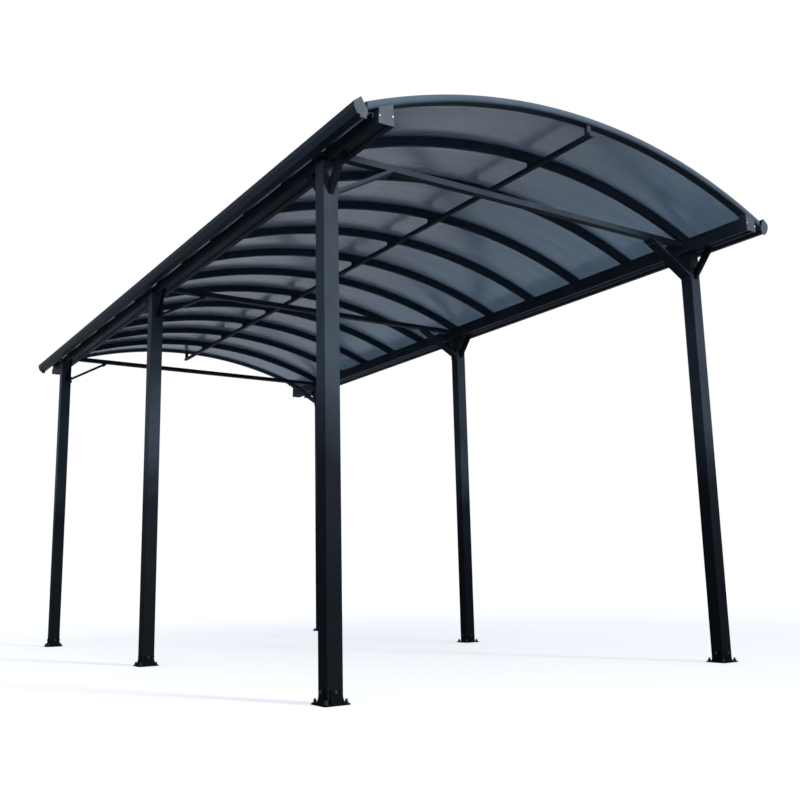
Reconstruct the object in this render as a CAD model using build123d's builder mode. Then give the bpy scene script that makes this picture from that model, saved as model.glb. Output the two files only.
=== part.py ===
from build123d import *
import math
import os

# Arched carport, open on all sides, six posts, twelve roof bays.
# Millimetres. X runs across the width, Y along the length with the front at -Y, Z is up.
# The origin lies on the ground in the middle of the plan.

# Overall layout
BAY = 450.0
BAYS = 12
POST_X = 1210.0
POST_RIBS = (1, 6, 11)
HALF_LENGTH = 2700.0

# Posts and feet
POST = 75.0
POST_CORNER = 4.0
POST_WALL = 2.5
PLATE = 120.0
PLATE_CORNER = 8.0
PLATE_T = 6.0
ANCHOR_SPACING = 92.0
ANCHOR_HOLE = 11.0
TAB_WIDTH = 46.0
TAB_T = 4.0
TAB_TOP = 62.0
TAB_KNEE = 40.0
TAB_FLARE = 14.0

# Roof arc, measured from the centre of the arc
ARC_Z = -498.0
LEDGE_R = 3132.0
PANEL_T = 6.0
FIT = 0.3
COVER_T = 8.0
COVER_WIDTH = 45.0
RIB_DEPTH = 38.0
RIB_WIDTH = 26.0
RIB_END_X = 1205.0
WEB_WIDTH = 6.0
PANEL_END_X = 1262.0
PANEL_GAP = 2.0

# End arches
END_OUTER_R = 3151.0
END_INNER_R = 3115.0
END_WIDTH = 50.0
END_ROUND = 20.0
END_LOW_ROUND = 12.0
END_SLOT = 12.0
END_REACH_X = 1268.0
SEAT_IN_X = 1155.0
SEAT_OUT_X = 1205.0
SEAT_SETBACK = 8.0

# Side beams
CAP_T = 4.0
BEAM_IN_X = 1143.0
BEAM_OUT_X = 1219.0
BEAM_BOTTOM = 2301.0
BEAM_TOP_OUT = 2340.0
BEAM_WALL = 3.0
GROOVE_WIDTH = 22.0
GROOVE_DEPTH = 5.0

# Gutters, section corners for the +X side in order round the section
GUTTER_SECTION = [
    (1270.0, 2342.0),
    (1300.0, 2393.0),
    (1334.0, 2366.0),
    (1332.0, 2342.0),
    (1318.0, 2315.0),
    (1289.0, 2312.0),
    (1270.0, 2322.0),
]
GUTTER_WALL = 2.5
GUTTER_MOUTH = [(1262.0, 2349.0), (1280.0, 2352.0), (1299.0, 2384.0), (1262.0, 2400.0)]
SPOUT_X = 1291.0
SPOUT_WIDTH = 30.0
SPOUT_BOTTOM = 2302.0
SPOUT_OVERLAP = 6.0
BRACKET_WIDTH = 60.0
BRACKET_LOW = 2323.0
BRACKET_HIGH = 2338.0

# Cross ties, knee braces, beam struts and crest purlin
TIE_DEPTH = 40.0
TIE_LOW = 2338.0
TIE_HIGH = 2368.0
TIE_WALL = 2.5
TIE_END_T = 5.0
KNEE_T = 15.0
KNEE_WIDTH = 64.0
KNEE_TOP_X = 879.0
KNEE_FOOT_Z = 2172.0
KNEE_PLATE_T = 5.0
KNEE_PLATE_LOW = 2138.0
KNEE_PLATE_HIGH = 2190.0
STRUT_WIDTH = 24.0
STRUT_T = 34.0
STRUT_RISE = 155.0
STRUT_REACH = 130.0
PURLIN_WIDTH = 24.0
PURLIN_HEIGHT = 20.0
PURLIN_TOP = 2574.0
PURLIN_TAB = 20.0

RIB_Y = [(index - BAYS / 2) * BAY for index in range(BAYS + 1)]
POST_Y = [RIB_Y[index] for index in POST_RIBS]
ROW_NAMES = ("front", "middle", "rear")
SIDES = (("left", -1.0), ("right", 1.0))
EXTRUSION_END = HALF_LENGTH - CAP_T
RIB_LOW_R = LEDGE_R - RIB_DEPTH
COVER_R = LEDGE_R + PANEL_T + 2 * FIT


def arc_height(radius, x):
    """Height of the roof arc of this radius above the ground at one place across the width."""
    return math.sqrt(radius ** 2 - x ** 2) + ARC_Z


def arc_plane(reach):
    """Plane through the arc axis that meets the radius of the ledge at -X reach."""
    angle = math.asin(reach / LEDGE_R)
    return Plane(
        origin=(0, 0, ARC_Z),
        x_dir=(0, 1, 0),
        z_dir=(math.cos(angle), 0, math.sin(angle)),
    ), 2 * math.degrees(angle)


def mirrored(corners, side):
    """Section corners moved to one side of the width."""
    return [(side * x, z) for x, z in corners]


def store(piece, label):
    """Write one finished piece as its own file."""
    piece.part.label = label
    export_step(piece.part, f"parts/{label}.step")


ARC_AXIS = Axis((0, 0, ARC_Z), (0, 1, 0))
os.makedirs("parts", exist_ok=True)


# Posts
def build_post(x, y):
    with BuildPart() as post:
        with BuildSketch(Plane.XY.offset(PLATE_T)):
            with Locations((x, y)):
                RectangleRounded(POST, POST, POST_CORNER)
                RectangleRounded(
                    POST - 2 * POST_WALL,
                    POST - 2 * POST_WALL,
                    POST_CORNER - POST_WALL,
                    mode=Mode.SUBTRACT,
                )
        extrude(amount=BEAM_BOTTOM - PLATE_T)
    return post


# Base plate with an upright flared tab on each post face
def build_foot(x, y):
    half = POST / 2
    with BuildPart() as foot:
        with BuildSketch(Plane.XY):
            with Locations((x, y)):
                RectangleRounded(PLATE, PLATE, PLATE_CORNER)
                with GridLocations(ANCHOR_SPACING, ANCHOR_SPACING, 2, 2):
                    Circle(ANCHOR_HOLE / 2, mode=Mode.SUBTRACT)
        extrude(amount=PLATE_T)
        for turn in (0, 90, 180, 270):
            radial = Plane(origin=(x, y, 0), z_dir=(0, 0, 1)).rotated((0, 0, turn))
            upright = Plane(
                origin=radial.origin - radial.y_dir * TAB_WIDTH / 2,
                x_dir=radial.x_dir,
                z_dir=-radial.y_dir,
            )
            with BuildSketch(upright):
                Polygon(
                    (half, PLATE_T),
                    (half + TAB_FLARE, PLATE_T),
                    (half + TAB_T, TAB_KNEE),
                    (half + TAB_T, TAB_TOP),
                    (half, TAB_TOP),
                    align=None,
                )
            extrude(amount=-TAB_WIDTH)
    return foot


for row, y in zip(ROW_NAMES, POST_Y):
    for side_name, side in SIDES:
        store(build_post(side * POST_X, y), f"{row}_{side_name}_post")
        store(build_foot(side * POST_X, y), f"{row}_{side_name}_foot")


# Side beam, a box section whose sloped top carries the ribs
BEAM_TOP_IN = arc_height(RIB_LOW_R - FIT, BEAM_IN_X)
BEAM_SLOPE = (BEAM_TOP_OUT - BEAM_TOP_IN) / (BEAM_OUT_X - BEAM_IN_X)


def beam_top(x):
    """Height of the sloped top of the beam at one place across the width."""
    return BEAM_TOP_IN + BEAM_SLOPE * (x - BEAM_IN_X)


def beam_outline(side, inset):
    """Corners of the beam section, moved inward by the same distance on every face."""
    drop = inset * math.hypot(1.0, BEAM_SLOPE)
    corners = [
        (BEAM_IN_X + inset, BEAM_BOTTOM + inset),
        (BEAM_OUT_X - inset, BEAM_BOTTOM + inset),
        (BEAM_OUT_X - inset, beam_top(BEAM_OUT_X - inset) - drop),
        (BEAM_IN_X + inset, beam_top(BEAM_IN_X + inset) - drop),
    ]
    return mirrored(corners, side)


for side_name, side in SIDES:
    middle_x = side * (BEAM_IN_X + BEAM_OUT_X) / 2
    with BuildPart() as beam:
        with BuildSketch(Plane.XZ.offset(-EXTRUSION_END)):
            Polygon(*beam_outline(side, 0), align=None)
            Polygon(*beam_outline(side, BEAM_WALL), align=None, mode=Mode.SUBTRACT)
            with Locations((middle_x, BEAM_BOTTOM)):
                Rectangle(
                    GROOVE_WIDTH + 2 * BEAM_WALL,
                    GROOVE_DEPTH + BEAM_WALL,
                    align=(Align.CENTER, Align.MIN),
                )
                Rectangle(
                    GROOVE_WIDTH,
                    GROOVE_DEPTH,
                    align=(Align.CENTER, Align.MIN),
                    mode=Mode.SUBTRACT,
                )
        extrude(amount=2 * EXTRUSION_END)
    store(beam, f"{side_name}_side_beam")

    with BuildPart() as beam_caps:
        for start in (-HALF_LENGTH, EXTRUSION_END):
            with BuildSketch(Plane.XZ.offset(-start)):
                Polygon(*beam_outline(side, 0), align=None)
            extrude(amount=-CAP_T)
    store(beam_caps, f"{side_name}_beam_caps")


# Gutter, a five sided channel open toward the roof edge
for side_name, side in SIDES:
    with BuildPart() as gutter:
        with BuildSketch(Plane.XZ.offset(-EXTRUSION_END)):
            Polygon(*mirrored(GUTTER_SECTION, side), align=None)
            offset(amount=-GUTTER_WALL, kind=Kind.INTERSECTION, mode=Mode.SUBTRACT)
            Polygon(*mirrored(GUTTER_MOUTH, side), align=None, mode=Mode.SUBTRACT)
        extrude(amount=2 * EXTRUSION_END)
    store(gutter, f"{side_name}_gutter")

    with BuildPart() as gutter_caps:
        for start in (-HALF_LENGTH, EXTRUSION_END):
            with BuildSketch(Plane.XZ.offset(-start)):
                Polygon(*mirrored(GUTTER_SECTION, side), align=None)
                with Locations((side * SPOUT_X, SPOUT_BOTTOM)):
                    Rectangle(
                        SPOUT_WIDTH,
                        GUTTER_SECTION[5][1] - SPOUT_BOTTOM + SPOUT_OVERLAP,
                        align=(Align.CENTER, Align.MIN),
                    )
            extrude(amount=-CAP_T)
    store(gutter_caps, f"{side_name}_gutter_caps")

    with BuildPart() as brackets:
        for y in POST_Y:
            with BuildSketch(Plane.XZ.offset(-(y + BRACKET_WIDTH / 2))):
                Polygon(
                    *mirrored(
                        [
                            (BEAM_OUT_X, BRACKET_LOW),
                            (GUTTER_SECTION[0][0], BRACKET_LOW),
                            (GUTTER_SECTION[0][0], BRACKET_HIGH),
                            (BEAM_OUT_X, BRACKET_HIGH),
                        ],
                        side,
                    ),
                    align=None,
                )
            extrude(amount=BRACKET_WIDTH)
    store(brackets, f"{side_name}_gutter_brackets")


# Intermediate ribs, three stacked arc bands that make an H shaped profile
RIB_BANDS = (
    (RIB_LOW_R, LEDGE_R, RIB_WIDTH, RIB_END_X),
    (LEDGE_R, COVER_R, WEB_WIDTH, PANEL_END_X),
    (COVER_R, COVER_R + COVER_T, COVER_WIDTH, PANEL_END_X),
)


def build_rib(y):
    with BuildPart() as rib:
        for low, high, width, reach in RIB_BANDS:
            with BuildSketch(Plane.XZ.offset(-(y + width / 2))):
                with Locations((0, ARC_Z)):
                    Circle(high)
                    Circle(low, mode=Mode.SUBTRACT)
                Rectangle(
                    2 * reach,
                    2 * LEDGE_R,
                    align=(Align.CENTER, Align.MIN),
                    mode=Mode.INTERSECT,
                )
            extrude(amount=width)
    return rib


for index in range(1, BAYS):
    store(build_rib(RIB_Y[index]), f"roof_rib_{index}")


# End arches, rounded on the outside edges and slotted for the last panel
END_OUT_Y = EXTRUSION_END
END_IN_Y = END_OUT_Y - END_WIDTH
end_plane, end_turn = arc_plane(END_REACH_X)


def seat_outline(side):
    """Block between the top of the beam and the underside of an end arch."""
    middle_r = (END_INNER_R + LEDGE_R) / 2
    corners = [
        (SEAT_IN_X, beam_top(SEAT_IN_X) + FIT),
        (SEAT_OUT_X, beam_top(SEAT_OUT_X) + FIT),
        (SEAT_OUT_X, arc_height(middle_r, SEAT_OUT_X)),
        (SEAT_IN_X, arc_height(middle_r, SEAT_IN_X)),
    ]
    return mirrored(corners, side)


for name, end in (("front_arch", -1.0), ("rear_arch", 1.0)):
    out_y = end * END_OUT_Y
    in_y = end * END_IN_Y
    slot_y = end * (END_IN_Y + END_SLOT)
    with BuildPart() as arch:
        with BuildSketch(end_plane) as section:
            Polygon(
                (out_y, END_INNER_R),
                (out_y, END_OUTER_R),
                (in_y, END_OUTER_R),
                (in_y, COVER_R),
                (slot_y, COVER_R),
                (slot_y, LEDGE_R),
                (in_y, LEDGE_R),
                (in_y, END_INNER_R),
                align=None,
            )
            top_corner = section.vertices().sort_by_distance((out_y, END_OUTER_R, 0))[0]
            fillet(top_corner, END_ROUND)
            low_corner = section.vertices().sort_by_distance((out_y, END_INNER_R, 0))[0]
            fillet(low_corner, END_LOW_ROUND)
        revolve(axis=ARC_AXIS, revolution_arc=end_turn)
        for side in (-1.0, 1.0):
            with BuildSketch(Plane.XZ.offset(-(out_y - end * SEAT_SETBACK))):
                Polygon(*seat_outline(side), align=None)
            extrude(amount=end * (END_WIDTH - 2 * SEAT_SETBACK))
    store(arch, name)


# Roof panels, three curved sheets to a group
def panel_span(bay):
    """Start and end of one sheet along the length."""
    start = RIB_Y[bay] + WEB_WIDTH / 2 + PANEL_GAP
    end = RIB_Y[bay + 1] - WEB_WIDTH / 2 - PANEL_GAP
    if bay == 0:
        start = -(END_IN_Y + END_SLOT - PANEL_GAP)
    if bay == BAYS - 1:
        end = END_IN_Y + END_SLOT - PANEL_GAP
    return start, end


for group, first in enumerate(range(0, BAYS, 3), start=1):
    sheet_plane, sheet_turn = arc_plane(PANEL_END_X)
    with BuildPart() as sheets:
        for bay in range(first, first + 3):
            start, end = panel_span(bay)
            with BuildSketch(sheet_plane):
                with Locations(((start + end) / 2, LEDGE_R + FIT)):
                    Rectangle(end - start, PANEL_T, align=(Align.CENTER, Align.MIN))
            revolve(axis=ARC_AXIS, revolution_arc=sheet_turn)
    store(sheets, f"roof_panels_{group}")


# Knee brace, one sloped bar below each end of a tie
def knee_outline(side):
    """Sloped bar from the inner face of a post up to the underside of the tie."""
    foot_x = POST_X - POST / 2
    slope = math.atan2(TIE_LOW - KNEE_FOOT_Z, foot_x - KNEE_TOP_X)
    upright = KNEE_T / math.cos(slope)
    level = KNEE_T / math.sin(slope)
    corners = [
        (foot_x, KNEE_FOOT_Z - upright / 2),
        (foot_x, KNEE_FOOT_Z + upright / 2),
        (KNEE_TOP_X + level / 2, TIE_LOW),
        (KNEE_TOP_X - level / 2, TIE_LOW),
    ]
    return mirrored(corners, side)


# Cross ties between the side beams, with knee braces and their plates on the posts
for row, y in zip(ROW_NAMES, POST_Y):
    with BuildPart() as tie:
        with Locations((0, y, (TIE_LOW + TIE_HIGH) / 2)):
            Box(2 * BEAM_IN_X, TIE_DEPTH, TIE_HIGH - TIE_LOW)
            Box(
                2 * (BEAM_IN_X - TIE_END_T),
                TIE_DEPTH - 2 * TIE_WALL,
                TIE_HIGH - TIE_LOW - 2 * TIE_WALL,
                mode=Mode.SUBTRACT,
            )
    store(tie, f"{row}_tie")

    with BuildPart() as knees:
        for side_name, side in SIDES:
            with BuildSketch(Plane.XZ.offset(-(y + KNEE_WIDTH / 2))):
                Polygon(*knee_outline(side), align=None)
            extrude(amount=KNEE_WIDTH)
            plate_x = side * (POST_X - POST / 2 - KNEE_PLATE_T / 2)
            with Locations((plate_x, y, (KNEE_PLATE_LOW + KNEE_PLATE_HIGH) / 2)):
                Box(KNEE_PLATE_T, KNEE_WIDTH, KNEE_PLATE_HIGH - KNEE_PLATE_LOW)
    store(knees, f"{row}_knee_braces")


# Short struts from each post to the side beam, one each way
for side_name, side in SIDES:
    with BuildPart() as struts:
        for y in POST_Y:
            for way in (-1.0, 1.0):
                face = y + way * POST / 2
                slope = math.atan2(STRUT_RISE, STRUT_REACH)
                low = BEAM_BOTTOM - STRUT_RISE
                far = face + way * STRUT_REACH
                with BuildSketch(Plane.YZ.offset(side * POST_X - STRUT_WIDTH / 2)):
                    Polygon(
                        (face, low),
                        (far, BEAM_BOTTOM),
                        (far - way * STRUT_T / math.sin(slope), BEAM_BOTTOM),
                        (face, low + STRUT_T / math.cos(slope)),
                        align=None,
                    )
                extrude(amount=STRUT_WIDTH)
    store(struts, f"{side_name}_beam_struts")


# Crest purlin below the ribs, with an upright tab to each rib and each end arch
TAB_REACH = [(y, RIB_LOW_R) for y in RIB_Y[1:-1]]
TAB_REACH += [(end * (EXTRUSION_END - END_WIDTH / 2), END_INNER_R) for end in (-1.0, 1.0)]
with BuildPart() as purlin:
    with Locations((0, 0, PURLIN_TOP)):
        Box(
            PURLIN_WIDTH,
            2 * EXTRUSION_END,
            PURLIN_HEIGHT,
            align=(Align.CENTER, Align.CENTER, Align.MAX),
        )
    for y, radius in TAB_REACH:
        with Locations((0, y, PURLIN_TOP)):
            Box(
                PURLIN_WIDTH,
                PURLIN_TAB,
                arc_height(radius, PURLIN_WIDTH / 2) - PURLIN_TOP,
                align=(Align.CENTER, Align.CENTER, Align.MIN),
            )
store(purlin, "crest_purlin")
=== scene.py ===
"""Looks of an arched carport: finishes, swept roof parts, fasteners, studio and camera.

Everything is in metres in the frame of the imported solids: X across the width, Y along the
length with the front at -Y, Z up, the ground at zero.
"""

import logging
import math
from collections.abc import Sequence
from dataclasses import dataclass, field
from enum import Enum

import bpy
import numpy as np
from mathutils import Matrix, Vector


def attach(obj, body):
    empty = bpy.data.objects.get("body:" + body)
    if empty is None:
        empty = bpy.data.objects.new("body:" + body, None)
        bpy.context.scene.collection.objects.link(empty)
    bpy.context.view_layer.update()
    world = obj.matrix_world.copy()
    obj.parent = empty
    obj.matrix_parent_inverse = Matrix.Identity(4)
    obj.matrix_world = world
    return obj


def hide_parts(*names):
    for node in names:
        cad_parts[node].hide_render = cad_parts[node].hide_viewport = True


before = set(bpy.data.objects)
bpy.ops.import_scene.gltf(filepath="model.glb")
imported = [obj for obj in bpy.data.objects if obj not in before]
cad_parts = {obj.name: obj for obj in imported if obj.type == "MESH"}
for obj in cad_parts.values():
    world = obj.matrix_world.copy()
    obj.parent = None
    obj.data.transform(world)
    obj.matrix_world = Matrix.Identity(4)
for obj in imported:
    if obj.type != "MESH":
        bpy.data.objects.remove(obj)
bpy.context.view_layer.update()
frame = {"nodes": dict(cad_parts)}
LOG = logging.getLogger("carport")
MM = 0.001
# An edge of a new piece that bends more than this stays sharp.
SHARP_DEGREES = 40.0
Point = tuple[float, float, float]


class Slot(Enum):
    """Material slots of the record that a piece can take its finish from."""

    ALUMINIUM = "coated_aluminium"
    STEEL = "coated_steel"
    CAP = "moulded_cap"
    SHEET = "tinted_sheet"


class Side(Enum):
    """Sides of the width, by the sign of X."""

    LEFT = -1.0
    RIGHT = 1.0


# Node and mesh helpers


def linear(colour: str) -> tuple[float, ...]:
    """Turn an sRGB hex colour into linear light.

    Args:
        colour: six hex digits after a hash.

    Returns:
        Red, green, blue and an alpha of one.
    """
    shares = np.array([int(colour[i:i + 2], 16) for i in (1, 3, 5)]) / 255.0
    light = np.where(shares <= 0.04045, shares / 12.92, ((shares + 0.055) / 1.055) ** 2.4)
    return (*light.tolist(), 1.0)


def add_node(
    tree: bpy.types.NodeTree,
    kind: str,
    settings: dict[str, object] | None = None,
    inputs: dict[str | int, object] | None = None,
) -> bpy.types.Node:
    """Add one node with its settings and links.

    Args:
        tree: the material's or world's node tree.
        kind: Blender's name of the node type.
        settings: the node's own properties by name.
        inputs: values, or sockets to link from, by socket name or number.

    Returns:
        The new node.
    """
    node = tree.nodes.new(kind)
    for name, value in (settings or {}).items():
        setattr(node, name, value)
    for key, value in (inputs or {}).items():
        if isinstance(value, bpy.types.NodeSocket):
            tree.links.new(value, node.inputs[key])
        else:
            node.inputs[key].default_value = value
    return node


def shape_ramp(
    node: bpy.types.Node, stops: Sequence[tuple[float, str]]
) -> bpy.types.Node:
    """Give a colour ramp its stops.

    Args:
        node: a ColorRamp node.
        stops: place and hex colour of each stop, in rising order.

    Returns:
        The same node.
    """
    elements = node.color_ramp.elements
    while len(elements) < len(stops):
        elements.new(0.5)
    for element, (place, colour) in zip(elements, stops):
        element.position = place
        element.color = linear(colour)
    return node


def new_material(name: str) -> tuple[bpy.types.Material, bpy.types.NodeTree, bpy.types.Node]:
    """Make a material with an empty Principled shader.

    Args:
        name: the finish in plain words.

    Returns:
        The material, its node tree and its Principled node.
    """
    material = bpy.data.materials.new(name)
    material.use_nodes = True
    tree = material.node_tree
    tree.nodes.clear()
    shader = add_node(tree, "ShaderNodeBsdfPrincipled")
    add_node(tree, "ShaderNodeOutputMaterial", inputs={"Surface": shader.outputs["BSDF"]})
    return material, tree, shader


def quads(rings: int, count: int) -> np.ndarray:
    """Quads between rings of points that are numbered ring by ring.

    Args:
        rings: number of rings.
        count: points of a ring, the last next to the first.

    Returns:
        An array of four point numbers for each quad.
    """
    ring, near = np.meshgrid(np.arange(rings - 1), np.arange(count), indexing="ij")
    far = (near + 1) % count
    corners = (ring * count + near, ring * count + far,
               (ring + 1) * count + far, (ring + 1) * count + near)
    return np.stack([corner.ravel() for corner in corners], axis=1)


@dataclass
class Shell:
    """Points and faces of a surface that is being put together.

    Attributes:
        points: coordinates in metres, one row for each point.
        faces: point numbers of each face.
    """

    points: np.ndarray = field(default_factory=lambda: np.zeros((0, 3)))
    faces: list[list[int]] = field(default_factory=list)

    def add_tube(self, points: np.ndarray, count: int) -> None:
        """Join a tube with flat ends on to this surface, its faces pointing outwards.

        They point outwards if the tube's volume is positive: the sum of a . (b x c) over
        its triangles a, b, c.

        Args:
            points: rings of points from one end to the other, one after the other.
            count: points of a ring.
        """
        sides = quads(len(points) // count, count)
        ring, last = np.arange(count), len(points) - count
        fan = np.stack([np.zeros(count - 2, dtype=int), ring[2:], ring[1:-1]], axis=1)
        triangles = np.vstack([sides[:, :3], sides[:, [0, 2, 3]], fan, fan[:, ::-1] + last])
        a, b, c = (points[triangles[:, corner]] for corner in range(3))
        turn = 1 if np.einsum("ij,ij->", a, np.cross(b, c)) > 0.0 else -1
        start = len(self.points)
        for block in (sides, ring[None, ::-1], ring[None] + last):
            self.faces += (block[:, ::turn] + start).tolist()
        self.points = np.vstack([self.points, points])

    def to_object(self, name: str) -> bpy.types.Object:
        """Put the surface into a mesh object at the origin, smooth but for its sharp edges.

        Args:
            name: name of the piece.

        Returns:
            The linked object.
        """
        mesh = bpy.data.meshes.new(name)
        mesh.from_pydata(self.points.tolist(), [], self.faces)
        mesh.validate()
        mesh.shade_smooth()
        mesh.set_sharp_from_angle(angle=math.radians(SHARP_DEGREES))
        piece = bpy.data.objects.new(name, mesh)
        bpy.context.scene.collection.objects.link(piece)
        normals = piece.modifiers.new("even_normals", "WEIGHTED_NORMAL")
        normals.keep_sharp = True
        return piece


def rounded_outline(corners: Sequence[Point], steps: int = 4) -> np.ndarray:
    """Outline of a convex or stepped section with rounded corners.

    A corner b with a radius becomes a curve from a to c, the points of the two sides that
    are one radius away from it: a(1-t)^2 + 2bt(1-t) + ct^2, which touches both sides.

    Args:
        corners: first and second coordinate and radius of each corner, in order.
        steps: pieces of each arc.

    Returns:
        Points of the outline, one row each.
    """
    places = np.array([corner[:2] for corner in corners])
    outline = []
    for index, (_, _, radius) in enumerate(corners):
        here = places[index]
        back = places[index - 1] - here
        ahead = places[(index + 1) % len(places)] - here
        if radius == 0.0:
            outline.append(here[None])
            continue
        start = here + back / np.linalg.norm(back) * radius
        end = here + ahead / np.linalg.norm(ahead) * radius
        t = np.linspace(0.0, 1.0, steps + 1)[:, None]
        outline.append(start * (1 - t) ** 2 + 2 * here * t * (1 - t) + end * t ** 2)
    return np.vstack(outline)


# Finishes


@dataclass(frozen=True)
class PowderCoat:
    """Satin polyester powder coat baked on metal.

    The powder melts into a fine orange peel with a soft, low sheen. It has rare pale
    scuffs, and painted shade darkens it and dulls its gloss near the ground.

    Attributes:
        name: the finish in plain words.
        coat: main colour.
        deep: colour of the darker patches.
        rubbed: colour of the scuffs.
        painted_ground_shade: colour of the painted shade near the ground.
        film: share of the painted shade, as a grey, by half the height in metres.
        roughness: lowest roughness, the spread goes up from it.
        peel_mm: width of an orange peel bump.
        gloss: specular level of the resin where it is clean.
    """

    name: str = "powder-coated aluminium"
    coat: str = "#4d5864"
    deep: str = "#414b56"
    rubbed: str = "#5f6b77"
    painted_ground_shade: str = "#181c20"
    film: tuple[tuple[float, str], ...] = (
        (0.26, "#f7f7f7"), (0.55, "#e8e8e8"), (0.75, "#000000"))
    roughness: float = 0.42
    peel_mm: float = 2.5
    gloss: float = 0.012

    def make(self) -> bpy.types.Material:
        """Build the finish.

        Returns:
            The material.
        """
        material, tree, shader = new_material(self.name)
        place = add_node(tree, "ShaderNodeTexCoord").outputs["Object"]
        # Batches of powder differ over a hand's breadth, so the patches are 220 mm wide.
        patches = add_node(tree, "ShaderNodeTexNoise", inputs={
            "Vector": place, "Scale": 1.0 / (220.0 * MM), "Detail": 3.0, "Roughness": 0.6})
        # Streaks run down with the rain: 30 mm wide and ten times as long.
        drawn = add_node(tree, "ShaderNodeMapping", inputs={
            "Vector": place, "Scale": (1.0, 1.0, 0.1)})
        streaks = add_node(tree, "ShaderNodeTexNoise", inputs={
            "Vector": drawn.outputs["Vector"], "Scale": 1.0 / (30.0 * MM), "Detail": 4.0})
        blend = add_node(tree, "ShaderNodeMath", {"operation": "MULTIPLY_ADD"}, {
            0: streaks.outputs["Fac"], 1: 0.35, 2: patches.outputs["Fac"]})
        tone = shape_ramp(add_node(tree, "ShaderNodeValToRGB", inputs={
            "Fac": blend.outputs["Value"]}), [(0.45, self.deep), (0.85, self.coat)])
        # Painted shade near the ground: full up to 1 m, gone by 1.4 m, with an edge ragged by
        # the patches.
        height = add_node(tree, "ShaderNodeSeparateXYZ", inputs={"Vector": place})
        ragged = add_node(tree, "ShaderNodeMath", {"operation": "MULTIPLY_ADD"}, {
            0: patches.outputs["Fac"], 1: 0.25, 2: height.outputs["Z"]})
        halved = add_node(tree, "ShaderNodeMath", {"operation": "MULTIPLY"}, {
            0: ragged.outputs["Value"], 1: 0.5})
        film = shape_ramp(add_node(tree, "ShaderNodeValToRGB", inputs={
            "Fac": halved.outputs["Value"]}), self.film)
        # Painted shade: the coat turns to a dark grey towards the ground.
        ground_shaded = add_node(tree, "ShaderNodeMix", {"data_type": "RGBA"}, {
            "Factor": film.outputs["Color"], "A": tone.outputs["Color"],
            "B": linear(self.painted_ground_shade)})
        # Scuffs are a few millimetres wide and rare: only the noise's highest peaks.
        knocks = add_node(tree, "ShaderNodeTexNoise", inputs={
            "Vector": place, "Scale": 1.0 / (14.0 * MM), "Detail": 4.0, "Roughness": 0.65})
        scuff = add_node(tree, "ShaderNodeMapRange", inputs={
            "Value": knocks.outputs["Fac"], "From Min": 0.68, "From Max": 0.76,
            "To Min": 0.0, "To Max": 0.35})
        worn = add_node(tree, "ShaderNodeMix", {"data_type": "RGBA"}, {
            "Factor": scuff.outputs["Result"], "A": ground_shaded.outputs["Result"],
            "B": linear(self.rubbed)})
        tree.links.new(worn.outputs["Result"], shader.inputs["Base Color"])
        sheen = add_node(tree, "ShaderNodeMapRange", inputs={
            "Value": patches.outputs["Fac"], "From Min": 0.3, "From Max": 0.75,
            "To Min": self.roughness, "To Max": self.roughness + 0.14})
        tree.links.new(sheen.outputs["Result"], shader.inputs["Roughness"])
        # Real orange peel is 1 mm wide, drawn coarser so that it still shows close up.
        peel = add_node(tree, "ShaderNodeTexNoise", inputs={
            "Vector": place, "Scale": 1.0 / (self.peel_mm * MM), "Detail": 2.0})
        bump = add_node(tree, "ShaderNodeBump", inputs={
            "Strength": 0.12, "Distance": 0.1 * MM, "Height": peel.outputs["Fac"]})
        tree.links.new(bump.outputs["Normal"], shader.inputs["Normal"])
        # The gloss fades where the painted shade near the ground is thick.
        shine = add_node(tree, "ShaderNodeMapRange", inputs={
            "Value": film.outputs["Color"], "From Min": 0.0, "From Max": 1.0,
            "To Min": self.gloss, "To Max": 0.1 * self.gloss})
        tree.links.new(shine.outputs["Result"], shader.inputs["Specular IOR Level"])
        return material


@dataclass(frozen=True)
class MouldedNylon:
    """Injection moulded polyamide with a spark eroded grain.

    The mould's grain scatters light, so the caps look paler and flatter than the metal.

    Attributes:
        name: the finish in plain words.
        body: main colour.
        chalk: colour where the sun has chalked it.
        roughness: lowest roughness.
        grain_mm: width of a grain of the mould's texture.
    """

    name: str = "moulded nylon"
    body: str = "#3a4856"
    chalk: str = "#475563"
    roughness: float = 0.5
    grain_mm: float = 1.2

    def make(self) -> bpy.types.Material:
        """Build the finish.

        Returns:
            The material.
        """
        material, tree, shader = new_material(self.name)
        place = add_node(tree, "ShaderNodeTexCoord").outputs["Object"]
        chalked = add_node(tree, "ShaderNodeTexNoise", inputs={
            "Vector": place, "Scale": 1.0 / (35.0 * MM), "Detail": 4.0})
        tone = shape_ramp(add_node(tree, "ShaderNodeValToRGB", inputs={
            "Fac": chalked.outputs["Fac"]}), [(0.35, self.body), (0.75, self.chalk)])
        tree.links.new(tone.outputs["Color"], shader.inputs["Base Color"])
        rough = add_node(tree, "ShaderNodeMapRange", inputs={
            "Value": chalked.outputs["Fac"], "From Min": 0.3, "From Max": 0.7,
            "To Min": self.roughness, "To Max": self.roughness + 0.15})
        tree.links.new(rough.outputs["Result"], shader.inputs["Roughness"])
        grain = add_node(tree, "ShaderNodeTexVoronoi", inputs={
            "Vector": place, "Scale": 1.0 / (self.grain_mm * MM)})
        bump = add_node(tree, "ShaderNodeBump", inputs={
            "Strength": 0.2, "Distance": 0.08 * MM, "Height": grain.outputs["Distance"]})
        tree.links.new(bump.outputs["Normal"], shader.inputs["Normal"])
        # Polyamide's own index, with its reflection dulled by the grain.
        shader.inputs["IOR"].default_value = 1.53
        shader.inputs["Specular IOR Level"].default_value = 0.35
        return material


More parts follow.
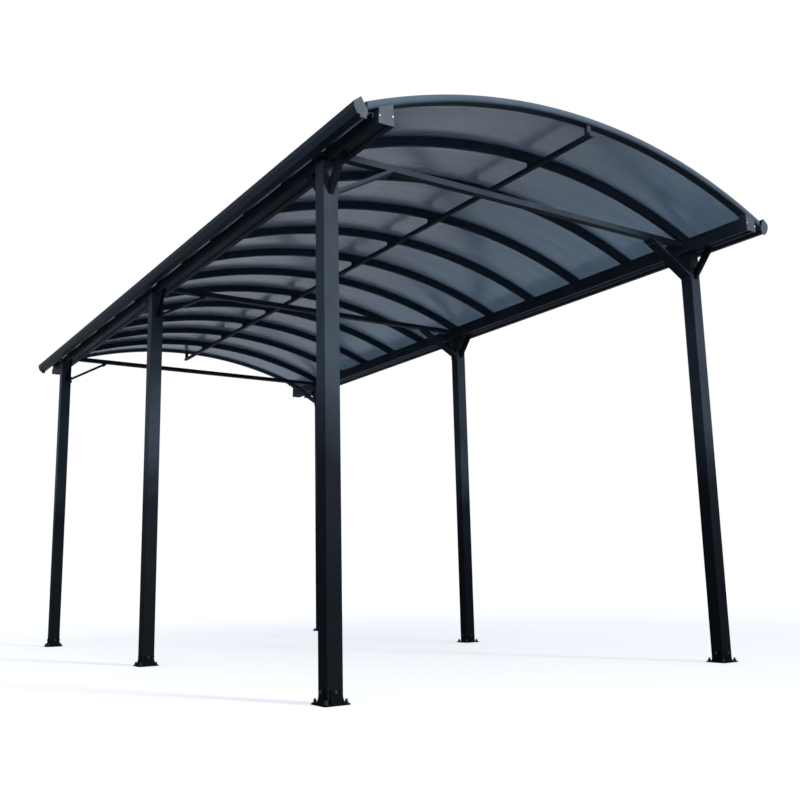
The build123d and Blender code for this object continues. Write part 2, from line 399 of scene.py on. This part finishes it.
@dataclass(frozen=True)
class TwinWallPolycarbonate:
    """Extruded twin-wall polycarbonate, smoke tinted, weathered to a low shine.

    Two thin skins joined by webs: the webs show as fine lines along the flutes, and the
    skins sink a little between them, which streaks what they mirror.

    Attributes:
        name: the finish in plain words.
        tint: colour of the skins.
        painted_light_tint: colour of the skins on the right slope, lighter and bluer as
            painted light.
        web: colour along a web, where more plastic is seen.
        flute_mm: distance from web to web.
        glare: colour of the skins' head-on reflection.
        shine: specular level of the skins.
        clear: share of light that goes through a skin.
        painted_light_clear: how much more light goes through on the right slope, as painted
            light.
        cover: share of light that one skin stops.
        roughness: lowest roughness of the skins.
    """

    name: str = "twin-wall polycarbonate"
    tint: str = "#9cb3ca"
    painted_light_tint: str = "#95b5d0"
    web: str = "#587593"
    flute_mm: float = 16.0
    glare: str = "#a9c6e6"
    shine: float = 0.04
    clear: float = 0.375
    painted_light_clear: float = 0.09
    cover: float = 0.93
    roughness: float = 0.14

    def make(self) -> bpy.types.Material:
        """Build the finish.

        Returns:
            The material.
        """
        material, tree, shader = new_material(self.name)
        place = add_node(tree, "ShaderNodeTexCoord").outputs["Object"]
        along = add_node(tree, "ShaderNodeSeparateXYZ", inputs={"Vector": place})
        # A 6 mm sheet has a web each 6 mm, drawn each 16 mm so that the lines still show.
        phase = add_node(tree, "ShaderNodeMath", {"operation": "MULTIPLY"}, {
            0: along.outputs["Y"], 1: 2.0 * math.pi / (self.flute_mm * MM)})
        wave = add_node(tree, "ShaderNodeMath", {"operation": "COSINE"}, {
            0: phase.outputs["Value"]})
        line = add_node(tree, "ShaderNodeMapRange", {"interpolation_type": "SMOOTHSTEP"}, {
            "Value": wave.outputs["Value"], "From Min": 0.35, "From Max": 1.0,
            "To Min": 0.0, "To Max": 1.0})
        # The extruder's die leaves bands 60 mm wide, and the sheet clouds over 400 mm.
        drawn = add_node(tree, "ShaderNodeMapping", inputs={
            "Vector": place, "Scale": (0.08, 1.0, 0.08)})
        bands = add_node(tree, "ShaderNodeTexNoise", inputs={
            "Vector": drawn.outputs["Vector"], "Scale": 1.0 / (60.0 * MM), "Detail": 3.0})
        clouds = add_node(tree, "ShaderNodeTexNoise", inputs={
            "Vector": place, "Scale": 1.0 / (400.0 * MM), "Detail": 3.0})
        depth = add_node(tree, "ShaderNodeMath", {"operation": "MULTIPLY_ADD"}, {
            0: bands.outputs["Fac"], 1: 0.6, 2: line.outputs["Result"]})
        # Painted light: the right slope, towards +X, turns bluer and lets more light through,
        # so it looks lit.
        painted_light_side = add_node(tree, "ShaderNodeMapRange", {"interpolation_type": "SMOOTHSTEP"}, {
            "Value": along.outputs["X"], "From Min": 0.0, "From Max": 1.1})
        skin = add_node(tree, "ShaderNodeMix", {"data_type": "RGBA"}, {
            "Factor": painted_light_side.outputs["Result"], "A": linear(self.tint), "B": linear(self.painted_light_tint)})
        tone = add_node(tree, "ShaderNodeMix", {"data_type": "RGBA"}, {
            "Factor": depth.outputs["Value"], "A": skin.outputs["Result"],
            "B": linear(self.web)})
        tree.links.new(tone.outputs["Result"], shader.inputs["Base Color"])
        stop = add_node(tree, "ShaderNodeMapRange", inputs={
            "Value": depth.outputs["Value"], "From Min": 0.0, "From Max": 1.5,
            "To Min": self.cover - 0.04, "To Max": self.cover + 0.07})
        tree.links.new(stop.outputs["Result"], shader.inputs["Alpha"])
        rough = add_node(tree, "ShaderNodeMapRange", inputs={
            "Value": clouds.outputs["Fac"], "From Min": 0.3, "From Max": 0.75,
            "To Min": self.roughness, "To Max": self.roughness + 0.12})
        tree.links.new(rough.outputs["Result"], shader.inputs["Roughness"])
        sink = add_node(tree, "ShaderNodeMath", {"operation": "MULTIPLY_ADD"}, {
            0: clouds.outputs["Fac"], 1: 6.0, 2: line.outputs["Result"]})
        bump = add_node(tree, "ShaderNodeBump", inputs={
            "Strength": 0.25, "Distance": 0.4 * MM, "Height": sink.outputs["Value"]})
        tree.links.new(bump.outputs["Normal"], shader.inputs["Normal"])
        shader.inputs["IOR"].default_value = 1.58
        shader.inputs["Specular IOR Level"].default_value = self.shine
        shader.inputs["Specular Tint"].default_value = linear(self.glare)
        # The clouds move the clear share by a twentieth up or down.
        least = self.clear - 0.05
        # More light goes through on the right slope: painted light.
        gain = add_node(tree, "ShaderNodeMapRange", inputs={
            "Value": painted_light_side.outputs["Result"], "To Min": least, "To Max": least + self.painted_light_clear})
        clear = add_node(tree, "ShaderNodeMath", {"operation": "MULTIPLY_ADD"}, {
            0: clouds.outputs["Fac"], 1: 0.1, 2: gain.outputs["Result"]})
        tree.links.new(clear.outputs["Value"], shader.inputs["Transmission Weight"])
        return material


@dataclass(frozen=True)
class PlatedSteel:
    """Steel of a bolt or screw, as zinc with a black passivate or bare stainless.

    The film is thin, so a metal glint stays, and the flats of a head that a spanner has
    turned show the bare metal.

    Attributes:
        name: the finish in plain words.
        film: colour of the surface.
        bare: colour where it is rubbed.
        roughness: lowest roughness.
        metal: share of bare metal in the surface.
    """

    name: str = "black zinc-plated steel"
    film: str = "#1d2024"
    bare: str = "#4b5056"
    roughness: float = 0.45
    metal: float = 0.35

    def make(self) -> bpy.types.Material:
        """Build the finish.

        Returns:
            The material.
        """
        material, tree, shader = new_material(self.name)
        place = add_node(tree, "ShaderNodeTexCoord").outputs["Object"]
        # Spanner marks are a few millimetres across.
        marks = add_node(tree, "ShaderNodeTexNoise", inputs={
            "Vector": place, "Scale": 1.0 / (4.0 * MM), "Detail": 5.0, "Roughness": 0.7})
        tone = shape_ramp(add_node(tree, "ShaderNodeValToRGB", inputs={
            "Fac": marks.outputs["Fac"]}), [(0.55, self.film), (0.78, self.bare)])
        tree.links.new(tone.outputs["Color"], shader.inputs["Base Color"])
        rough = add_node(tree, "ShaderNodeMapRange", inputs={
            "Value": marks.outputs["Fac"], "From Min": 0.3, "From Max": 0.7,
            "To Min": self.roughness + 0.15, "To Max": self.roughness})
        tree.links.new(rough.outputs["Result"], shader.inputs["Roughness"])
        bump = add_node(tree, "ShaderNodeBump", inputs={
            "Strength": 0.15, "Distance": 0.1 * MM, "Height": marks.outputs["Fac"]})
        tree.links.new(bump.outputs["Normal"], shader.inputs["Normal"])
        shader.inputs["Metallic"].default_value = self.metal
        shader.inputs["Specular IOR Level"].default_value = 0.3
        return material


@dataclass
class Palette:
    """The finishes of the carport, made once.

    Attributes:
        aluminium: coat of posts, beams, gutters, ribs and ties.
        trim: coat of the end arches, made paler as painted light.
        bracket: darker coat of the struts.
        steel: coat of the feet.
        cap: moulded end caps.
        sheet: roof sheets.
        fastener: bolts, nuts and washers.
        screw: screws of the end caps.
    """

    aluminium: bpy.types.Material = field(default_factory=lambda: PowderCoat().make())
    # The end arches' paler coat is painted light, for the sky light on their rounded tops.
    trim: bpy.types.Material = field(default_factory=lambda: PowderCoat(
        "powder-coated trim", "#6c7b8c", "#606e7d", "#7d8994", "#15191c").make())
    bracket: bpy.types.Material = field(default_factory=lambda: PowderCoat(
        "powder-coated bracket", "#262c33", "#1f242a", "#4a525b", "#15191c").make())
    steel: bpy.types.Material = field(default_factory=lambda: PowderCoat(
        "powder-coated steel", "#33383f", "#272b31", "#565e67", "#14181b",
        roughness=0.48, peel_mm=3.0).make())
    cap: bpy.types.Material = field(default_factory=lambda: MouldedNylon().make())
    sheet: bpy.types.Material = field(default_factory=lambda: TwinWallPolycarbonate().make())
    fastener: bpy.types.Material = field(default_factory=lambda: PlatedSteel().make())
    screw: bpy.types.Material = field(default_factory=lambda: PlatedSteel(
        "bright stainless steel", "#c9cdd1", "#e6e8ea", roughness=0.24, metal=0.9).make())

    def of(self, slot: Slot) -> bpy.types.Material:
        """The finish that stands for a slot of the record."""
        return {Slot.ALUMINIUM: self.aluminium, Slot.STEEL: self.steel,
                Slot.CAP: self.cap, Slot.SHEET: self.sheet}[slot]


def settle(piece: bpy.types.Object, finish: bpy.types.Material) -> None:
    """Dress a new piece, let it ride on the frame and report it.

    Args:
        piece: the finished mesh object.
        finish: its material.
    """
    piece.data.materials.clear()
    piece.data.materials.append(finish)
    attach(piece, "root")
    LOG.info("%s has %d faces", piece.name, len(piece.data.polygons))


# Roof


@dataclass
class Roof:
    """Ribs, sheets, end arches and their seats, all set out from one arc.

    Attributes:
        arc_z: height of the arc's centre.
        ledge_r: radius of the ledge that the sheets lie on.
        depth: height of a rib below the ledge.
        rib_width: width of a rib below the sheets.
        cover_width: width of its cover strip.
        web_width: width of the web between two sheets.
        cover_r: radius of the underside of the cover strip.
        cover_t: thickness of the cover strip.
        edges: radii of the rounded edges: a rib's lower ones and those at the ledge, the
            cover strip's lower ones and its upper ones.
        sheet_t: thickness of a sheet.
        sheet_play: gap between a sheet and the ledge.
        sheet_gap: distance from a rib's middle to the sheet's edge.
        sheet_end: place of the outermost sheets' outer edges along the length.
        arch_y: end arch's outer face, bottom of its slot and inner face.
        arch_r: inner and outer radius of an end arch.
        nose: radius of its two outer corners.
        low_reach: where the ribs stop across the width.
        top_reach: where the cover strips and sheets stop.
        arch_reach: where the end arches stop.
        seat: corners of the block between a beam and an end arch, X and height.
        seat_ends: its ends along the length, the outer one level with the beam's cap.
        bay: distance from rib to rib.
        bays: number of bays.
        group: bays whose sheets are one piece.
        steps: pieces of the arc.
    """

    arc_z: float = -498.0 * MM
    ledge_r: float = 3132.0 * MM
    depth: float = 38.0 * MM
    rib_width: float = 26.0 * MM
    cover_width: float = 45.0 * MM
    web_width: float = 6.0 * MM
    cover_r: float = 3138.6 * MM
    cover_t: float = 8.0 * MM
    edges: tuple[float, float, float, float] = (3.0 * MM, 1.0 * MM, 0.8 * MM, 3.0 * MM)
    sheet_t: float = 6.0 * MM
    sheet_play: float = 0.3 * MM
    sheet_gap: float = 5.0 * MM
    sheet_end: float = 2656.0 * MM
    arch_y: Point = (2696.0 * MM, 2658.0 * MM, 2646.0 * MM)
    arch_r: tuple[float, float] = (3115.0 * MM, 3151.0 * MM)
    nose: float = 18.0 * MM
    low_reach: float = 1205.0 * MM
    top_reach: float = 1262.0 * MM
    arch_reach: float = 1268.0 * MM
    seat: tuple[tuple[float, float], ...] = (
        (1145.0 * MM, 2376.1 * MM), (1215.0 * MM, 2342.3 * MM),
        (1215.0 * MM, 2371.0 * MM), (1145.0 * MM, 2399.6 * MM))
    seat_ends: tuple[float, float] = (2699.5 * MM, 2654.0 * MM)
    bay: float = 450.0 * MM
    bays: int = 12
    group: int = 3
    steps: int = 72

    def sweep(self, shell: Shell, section: np.ndarray, reach: float) -> None:
        """Carry a section round the roof arc between two upright cuts.

        The angle at share t of the way is t times arcsin(reach / r), so each end is a
        plane of constant X. Then x = r sin(angle), z = r cos(angle) + arc_z, y = y.

        Args:
            shell: surface that the band is added to.
            section: closed outline as places along Y and radii.
            reach: X of the cuts.
        """
        share = np.linspace(-1.0, 1.0, self.steps + 1)[:, None]
        radius = section[None, :, 1]
        angle = share * np.arcsin(reach / radius)
        across = radius * np.sin(angle)
        height = radius * np.cos(angle) + self.arc_z
        along = np.broadcast_to(section[None, :, 0], across.shape)
        points = np.stack([across, along, height], axis=2).reshape(-1, 3)
        shell.add_tube(points, len(section))

    def bay_start(self, bay: int) -> float:
        """Place along the length where a bay starts, which is the middle of its rib."""
        return (bay - self.bays / 2) * self.bay

    def rib(self, index: int) -> bpy.types.Object:
        """One rib: a rounded body, a web and a cover strip.

        Args:
            index: number of the rib from the front.

        Returns:
            The piece.
        """
        middle = self.bay_start(index)
        body_low, body_high, cover_low, cover_high = self.edges
        shell = Shell()
        for half, low, high, low_edge, high_edge, reach in (
                (self.rib_width / 2, self.ledge_r - self.depth, self.ledge_r,
                 body_low, body_high, self.low_reach),
                (self.web_width / 2, self.ledge_r, self.cover_r, 0.0, 0.0, self.top_reach),
                (self.cover_width / 2, self.cover_r, self.cover_r + self.cover_t,
                 cover_low, cover_high, self.top_reach)):
            self.sweep(shell, rounded_outline([
                (middle - half, low, low_edge), (middle + half, low, low_edge),
                (middle + half, high, high_edge), (middle - half, high, high_edge)]), reach)
        return shell.to_object(f"dressed_rib_{index}")

    def seats(self, name: str, end: float) -> bpy.types.Object:
        """The moulded blocks that fill the space between the beams and an end arch.

        Args:
            name: name of the piece.
            end: minus one at the front, one at the rear.

        Returns:
            The piece.
        """
        shell = Shell()
        for side in Side:
            outline = np.array(self.seat) * np.array([side.value, 1.0])
            rings = [np.insert(outline, 1, end * y, axis=1) for y in self.seat_ends]
            shell.add_tube(np.vstack(rings), len(outline))
        return shell.to_object(name)

    def end_arch(self, name: str, end: float) -> bpy.types.Object:
        """One end arch: a section with a rounded nose, slotted for the last sheet.

        Args:
            name: name of the piece.
            end: minus one at the front, one at the rear.

        Returns:
            The piece.
        """
        out_y, slot_y, in_y = (end * place for place in self.arch_y)
        inner, outer = self.arch_r
        shell = Shell()
        self.sweep(shell, rounded_outline([
            (out_y, inner, self.nose), (out_y, outer, self.nose), (in_y, outer, 3.0 * MM),
            (in_y, self.cover_r, 0.5 * MM), (slot_y, self.cover_r, 0.0),
            (slot_y, self.ledge_r, 0.0), (in_y, self.ledge_r, 0.5 * MM),
            (in_y, inner, 2.0 * MM)], steps=8), self.arch_reach)
        return shell.to_object(name)

    def sheets(self, number: int) -> bpy.types.Object:
        """The curved sheets of one group of bays.

        Args:
            number: number of the group from the front, from one.

        Returns:
            The piece.
        """
        shell = Shell()
        low = self.ledge_r + self.sheet_play
        high = low + self.sheet_t
        for bay in range((number - 1) * self.group, number * self.group):
            start = max(self.bay_start(bay) + self.sheet_gap, -self.sheet_end)
            end = min(self.bay_start(bay + 1) - self.sheet_gap, self.sheet_end)
            self.sweep(shell, rounded_outline([
                (start, low, 0.0), (end, low, 0.0), (end, high, 0.0), (start, high, 0.0)]),
                self.top_reach)
        return shell.to_object(f"dressed_sheets_{number}")

    def build(self, palette: Palette) -> None:
        """Build and dress the whole roof.

        Args:
            palette: the finishes.
        """
        for index in range(1, self.bays):
            piece = self.rib(index)
            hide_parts(f"roof_rib_{index}")
            settle(piece, palette.aluminium)
        for name, end in (("front_arch", -1.0), ("rear_arch", 1.0)):
            piece = self.end_arch(f"dressed_{name}", end)
            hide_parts(name)
            settle(piece, palette.trim)
            settle(self.seats(f"{name}_seats", end), palette.cap)
        for number in range(1, self.bays // self.group + 1):
            piece = self.sheets(number)
            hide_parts(f"roof_panels_{number}")
            settle(piece, palette.sheet)


@dataclass
class BeamLips:
    """Upright outer lips of the side beams, which leave a narrow slit below the sheets.

    Attributes:
        face: outer face of a lip across the width, in millimetres.
        thick: thickness of a lip.
        foot: height where it leaves the beam.
        top: height of its outer edge.
        slope: fall of the sheets there for each millimetre outwards.
        reach: half of its length.
        stations: sections along the length.
    """

    face: float = 1217.0
    thick: float = 3.0
    foot: float = 2340.5
    top: float = 2369.0
    slope: float = 0.42
    reach: float = 2645.0
    stations: int = 13

    def build(self, palette: Palette) -> None:
        """Build each lip as a tube: its section at stations along the length.

        The section is a rounded outline in X and Z, and the stations are evenly spaced
        from minus the reach to the reach, so a point is (section X, station, section Z).

        Args:
            palette: the finishes.
        """
        inner = self.face - self.thick
        section = rounded_outline([
            (self.face, self.foot, 0.0), (self.face, self.top, 0.8),
            (inner, self.top + self.slope * self.thick, 0.8),
            (inner, self.foot + self.slope * self.thick, 0.0)]) * MM
        stations = np.linspace(-self.reach, self.reach, self.stations) * MM
        along = np.repeat(stations, len(section))
        for side in Side:
            across = np.tile(section[:, 0] * side.value, len(stations))
            height = np.tile(section[:, 1], len(stations))
            shell = Shell()
            shell.add_tube(np.column_stack([across, along, height]), len(section))
            settle(shell.to_object(f"{side.name.lower()}_beam_lip"), palette.aluminium)


# Fasteners


@dataclass(frozen=True)
class Fastener:
    """A turned or forged head on a washer, seen from outside.

    Each row of the surface is a ring: its radius times one on a round row, or times
    cos(30) / cos(a) on a hexagonal row, where a is the angle to the nearest flat.

    Attributes:
        rows: radius, height and whether the ring is hexagonal, from the foot to the tip.
        columns: points round a ring.
    """

    rows: tuple[tuple[float, float, bool], ...]
    columns: int = 24

    def add_to(self, shell: Shell, place: Point, axis: Point) -> None:
        """Put one fastener on a surface.

        Args:
            shell: surface that it is added to.
            place: point of the surface under its middle, in millimetres.
            axis: direction that it sticks out.
        """
        out = Vector(axis).normalized()
        turn = np.array(out.to_track_quat("Z", "Y").to_matrix())
        angle = np.linspace(0.0, 2.0 * math.pi, self.columns, endpoint=False)
        to_flat = np.mod(angle, math.pi / 3) - math.pi / 6
        hexagon = math.cos(math.pi / 6) / np.cos(to_flat)
        radius = np.array([row[0] for row in self.rows])[:, None]
        height = np.array([row[1] for row in self.rows])[:, None]
        flats = np.array([row[2] for row in self.rows])[:, None]
        ring = radius * np.where(flats, hexagon[None], 1.0)
        points = np.stack([ring * np.cos(angle), ring * np.sin(angle),
                           np.broadcast_to(height, ring.shape)], axis=2).reshape(-1, 3)
        shell.add_tube((points @ turn.T + np.array(place)) * MM, self.columns)


# Each is a washer, then a hexagonal head or nut, and the anchor's end stands out of its nut.
HEX_BOLT = Fastener(((9.0, -0.3, False), (9.0, 1.4, False), (8.6, 1.6, False),
                     (7.2, 1.6, True), (7.5, 1.8, True), (7.5, 6.4, True),
                     (6.2, 7.2, False), (3.0, 7.3, False)))
ANCHOR = Fastener(((10.5, -0.3, False), (10.5, 1.6, False), (10.1, 1.9, False),
                   (8.4, 1.9, True), (8.7, 2.2, True), (8.7, 9.4, True), (7.2, 10.2, False),
                   (5.0, 10.2, False), (5.0, 17.0, False), (4.2, 18.0, False)))
# A domed head with a small recess in its middle.
PAN_SCREW = Fastener(((4.6, -0.3, False), (4.6, 0.8, False), (4.0, 2.2, False),
                      (2.6, 3.0, False), (1.1, 3.1, False), (0.8, 2.0, False)), 16)


@dataclass
class Feet:
    """Anchors and side bolts of the six feet.

    Attributes:
        post_x: middle of the posts across the width, in millimetres.
        rows: name and place along the length of each row of posts.
        half_spacing: half the distance between two anchors.
        plate_top: top of the base plate.
        tab_face: outer face of a tab, from the middle of the post.
        bolt_z: height of the side bolts.
    """

    post_x: float = 1210.0
    rows: tuple[tuple[str, float], ...] = (("front", -2250.0), ("middle", 0.0),
                                           ("rear", 2250.0))
    half_spacing: float = 46.0
    plate_top: float = 6.0
    tab_face: float = 41.5
    bolt_z: float = 51.0

    def build(self, palette: Palette) -> None:
        """Build the bolts of each foot as one piece.

        Args:
            palette: the finishes.
        """
        for row, y in self.rows:
            for side in Side:
                x = side.value * self.post_x
                shell = Shell()
                for across in (-1.0, 1.0):
                    for along in (-1.0, 1.0):
                        ANCHOR.add_to(shell, (x + across * self.half_spacing,
                                              y + along * self.half_spacing,
                                              self.plate_top), (0.0, 0.0, 1.0))
                    HEX_BOLT.add_to(shell, (x + across * self.tab_face, y, self.bolt_z),
                                    (across, 0.0, 0.0))
                    HEX_BOLT.add_to(shell, (x, y + across * self.tab_face, self.bolt_z),
                                    (0.0, across, 0.0))
                piece = shell.to_object(f"{row}_{side.name.lower()}_foot_bolts")
                settle(piece, palette.fastener)


@dataclass
class Joinery:
    """Bolts of the knee braces and screws of the beam caps.

    Attributes:
        feet: places of the posts.
        plate_x: inner face of a brace's plate on the post.
        plate_z: height of the plate's bolts, below the bar.
        bar_top: where the underside of the bar meets the tie, X and height.
        bar_degrees: slope of the bar.
        bar_inset: distance of its bolts from that edge.
        spread: half the distance between two bolts along the length.
        cap_face: outer face of the caps along the length.
        cap_places: X and height of the screws of a cap.
    """

    feet: Feet
    plate_x: float = 1167.5
    plate_z: float = 2150.0
    bar_top: tuple[float, float] = (863.8, 2338.0)
    bar_degrees: float = 29.5
    bar_inset: float = 34.0
    spread: float = 17.0
    cap_face: float = 2700.0
    cap_places: tuple[tuple[float, float], ...] = ((1149.5, 2343.0), (1213.0, 2333.0))

    def knee_bolts(self) -> list[bpy.types.Object]:
        """Two bolts on each brace's plate and two through its bar below the tie.

        Returns:
            The pieces, one for each row of posts.
        """
        slope = math.radians(self.bar_degrees)
        bar_x = self.bar_top[0] + self.bar_inset * math.cos(slope)
        bar_z = self.bar_top[1] - self.bar_inset * math.sin(slope)
        pieces = []
        for row, y in self.feet.rows:
            shell = Shell()
            for side in Side:
                for along in (-self.spread, self.spread):
                    HEX_BOLT.add_to(shell, (side.value * bar_x, y + along, bar_z),
                                    (-side.value * math.sin(slope), 0.0, -math.cos(slope)))
                    HEX_BOLT.add_to(shell, (side.value * self.plate_x, y + along,
                                            self.plate_z), (-side.value, 0.0, 0.0))
            pieces.append(shell.to_object(f"{row}_knee_bolts"))
        return pieces

    def cap_screws(self) -> list[bpy.types.Object]:
        """Two screws on each beam cap.

        Returns:
            The pieces, one for each side.
        """
        pieces = []
        for side in Side:
            shell = Shell()
            for end in (-1.0, 1.0):
                for x, z in self.cap_places:
                    PAN_SCREW.add_to(shell, (side.value * x, end * self.cap_face, z),
                                     (0.0, end, 0.0))
            pieces.append(shell.to_object(f"{side.name.lower()}_cap_screws"))
        return pieces

    def build(self, palette: Palette) -> None:
        """Build and dress all the fasteners of the frame.

        Args:
            palette: the finishes.
        """
        for piece in self.knee_bolts():
            settle(piece, palette.fastener)
        for piece in self.cap_screws():
            settle(piece, palette.screw)


# Carried-over solids


@dataclass
class Metalwork:
    """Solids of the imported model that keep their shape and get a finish.

    Attributes:
        slots: part of a node's name and the slot of its finish, the first match counts.
        dark: part of the names of the nodes with the darker coat.
    """

    slots: tuple[tuple[str, Slot], ...] = (
        ("foot", Slot.STEEL), ("caps", Slot.CAP), ("panels", Slot.SHEET),
        ("", Slot.ALUMINIUM))
    dark: str = "struts"

    def dress(self, palette: Palette) -> None:
        """Give each node its finish.

        Args:
            palette: the finishes.
        """
        for name, node in sorted(frame["nodes"].items()):
            slot = next(slot for part, slot in self.slots if part in name)
            finish = palette.bracket if self.dark in name else palette.of(slot)
            if not node.material_slots:
                node.data.materials.append(None)
            for holder in node.material_slots:
                holder.material = finish
            LOG.info("%s takes the finish %s", name, slot.value)


# Studio


@dataclass
class Studio:
    """Pale floor, white surround, one soft key light and the camera.

    Attributes:
        floor_half: half the side of the floor.
        floor_bounce: colour of the floor as the surfaces' light.
        floor_seen: colour of the floor to look at.
        floor_lift: light added to the seen floor near the carport and far from it.
        floor_reach: distances from the origin where near ends and far starts.
        key_from: direction from the carport to the key light.
        key_aim: point that the key light is turned to.
        key_spread: angle of its honeycomb grid in degrees.
        key_distance: distance of the key light.
        key_side: side of the square key light.
        key_power: power of the key light in watts.
        ambient: grey of the surround as the surfaces' light.
        eye: place of the camera.
        azimuth: heading of the camera from +Y towards +X, in degrees.
        pitch: upward tilt in degrees.
        roll: turn of the camera about its own axis in degrees.
        frame: width of the frame in pixels.
        focal: focal length in pixels of that frame.
    """

    floor_half: float = 40.0
    floor_bounce: str = "#36393d"
    floor_seen: str = "#fafafa"
    floor_lift: tuple[float, float] = (0.52, 0.62)
    floor_reach: tuple[float, float] = (3.0, 8.0)
    key_from: Point = (0.44, -0.84, 0.28)
    key_aim: Point = (-1.7, -2.3, 1.9)
    key_spread: float = 26.0
    key_distance: float = 22.0
    key_side: float = 3.4
    key_power: float = 82.0
    ambient: str = "#afb6c2"
    eye: Point = (-3.0987, -5.6286, 0.5058)
    azimuth: float = 33.70
    pitch: float = 10.61
    roll: float = -1.28
    frame: float = 800.0
    focal: float = 928.2

    def floor(self) -> None:
        """A flat floor that looks white, keeps the shadow and bounces little light."""
        corners = np.array([(-1.0, -1.0, 0.0), (1.0, -1.0, 0.0), (1.0, 1.0, 0.0),
                            (-1.0, 1.0, 0.0)])
        plate = Shell(self.floor_half * corners, [[0, 1, 2, 3]]).to_object("studio_floor")
        material = bpy.data.materials.new("pale studio floor")
        material.use_nodes = True
        tree = material.node_tree
        tree.nodes.clear()
        seen = self.seen_rays(tree)
        colour = add_node(tree, "ShaderNodeMix", {"data_type": "RGBA"}, {
            "Factor": seen, "A": linear(self.floor_bounce), "B": linear(self.floor_seen)})
        matt = add_node(tree, "ShaderNodeBsdfDiffuse", inputs={
            "Color": colour.outputs["Result"]})
        # The key light's pool is near the carport, so the far floor is lifted more.
        place = add_node(tree, "ShaderNodeTexCoord").outputs["Object"]
        reach = add_node(tree, "ShaderNodeVectorMath", {"operation": "LENGTH"}, {0: place})
        white = add_node(tree, "ShaderNodeMapRange", {"interpolation_type": "SMOOTHSTEP"}, {
            "Value": reach.outputs["Value"],
            "From Min": self.floor_reach[0], "From Max": self.floor_reach[1],
            "To Min": self.floor_lift[0], "To Max": self.floor_lift[1]})
        lift = add_node(tree, "ShaderNodeMath", {"operation": "MULTIPLY"}, {
            0: seen, 1: white.outputs["Result"]})
        glow = add_node(tree, "ShaderNodeEmission", inputs={
            "Color": linear("#ffffff"), "Strength": lift.outputs["Value"]})
        both = add_node(tree, "ShaderNodeAddShader", inputs={
            0: matt.outputs["BSDF"], 1: glow.outputs["Emission"]})
        add_node(tree, "ShaderNodeOutputMaterial", inputs={"Surface": both.outputs["Shader"]})
        plate.data.materials.append(material)

    def seen_rays(self, tree: bpy.types.NodeTree) -> bpy.types.NodeSocket:
        """One for rays that show the surround: from the camera, or by gloss or glass.

        Args:
            tree: node tree that asks.

        Returns:
            The socket with that value.
        """
        path = add_node(tree, "ShaderNodeLightPath")
        mirror = add_node(tree, "ShaderNodeMath", {"operation": "MAXIMUM"}, {
            0: path.outputs["Is Camera Ray"], 1: path.outputs["Is Glossy Ray"]})
        every = add_node(tree, "ShaderNodeMath", {"operation": "MAXIMUM"}, {
            0: mirror.outputs["Value"], 1: path.outputs["Is Transmission Ray"]})
        return every.outputs["Value"]

    def surround(self) -> None:
        """A world that is white to look at and a plain grey as light."""
        world = bpy.data.worlds.new("white surround")
        world.use_nodes = True
        tree = world.node_tree
        tree.nodes.clear()
        colour = add_node(tree, "ShaderNodeMix", {"data_type": "RGBA"}, {
            "Factor": self.seen_rays(tree), "A": linear(self.ambient), "B": linear("#ffffff")})
        sky = add_node(tree, "ShaderNodeBackground", inputs={
            "Color": colour.outputs["Result"], "Strength": 1.0})
        add_node(tree, "ShaderNodeOutputWorld", inputs={"Surface": sky.outputs["Background"]})
        bpy.context.scene.world = world

    def key(self) -> None:
        """A square key light with a grid, from the front right to the near left post."""
        lamp = bpy.data.lights.new("key", "AREA")
        lamp.size = self.key_side
        lamp.energy = self.key_power
        lamp.spread = math.radians(self.key_spread)
        holder = bpy.data.objects.new("key", lamp)
        out = Vector(self.key_from).normalized()
        place = Vector(self.key_aim) + out * self.key_distance
        holder.matrix_world = (Matrix.Translation(place)
                               @ out.to_track_quat("Z", "Y").to_matrix().to_4x4())
        bpy.context.scene.collection.objects.link(holder)

    def camera(self) -> None:
        """The camera at the photograph's place, with its axes written out.

        With heading a and pitch p the view runs along (sin a cos p, cos a cos p, sin p).
        The level right hand axis is (cos a, -sin a, 0), and the roll turns it about the view.
        """
        a, p, r = (math.radians(angle) for angle in (self.azimuth, self.pitch, self.roll))
        ahead = Vector((math.sin(a) * math.cos(p), math.cos(a) * math.cos(p), math.sin(p)))
        level = Vector((math.cos(a), -math.sin(a), 0.0))
        above = level.cross(ahead)
        right = level * math.cos(r) + above * math.sin(r)
        up = right.cross(ahead)
        turn = Matrix((right, up, -ahead)).transposed().to_4x4()
        lens = bpy.data.cameras.new("camera")
        lens.sensor_width = 36.0
        lens.lens = self.focal / self.frame * lens.sensor_width
        lens.clip_end = 5.0 * self.floor_half
        holder = bpy.data.objects.new("camera", lens)
        holder.matrix_world = Matrix.Translation(Vector(self.eye)) @ turn
        bpy.context.scene.collection.objects.link(holder)
        bpy.context.scene.camera = holder

    def build(self) -> None:
        """Set up the floor, the surround, the key light and the camera."""
        self.floor()
        self.surround()
        self.key()
        self.camera()
        bpy.context.scene.view_settings.view_transform = "Standard"


def main() -> None:
    """Build the carport's pieces in order, then the studio."""
    logging.basicConfig(level=logging.INFO, format="%(message)s")
    palette = Palette()
    Metalwork().dress(palette)
    Roof().build(palette)
    BeamLips().build(palette)
    feet = Feet()
    feet.build(palette)
    Joinery(feet).build(palette)
    Studio().build()


if __name__ == "__main__":
    main()
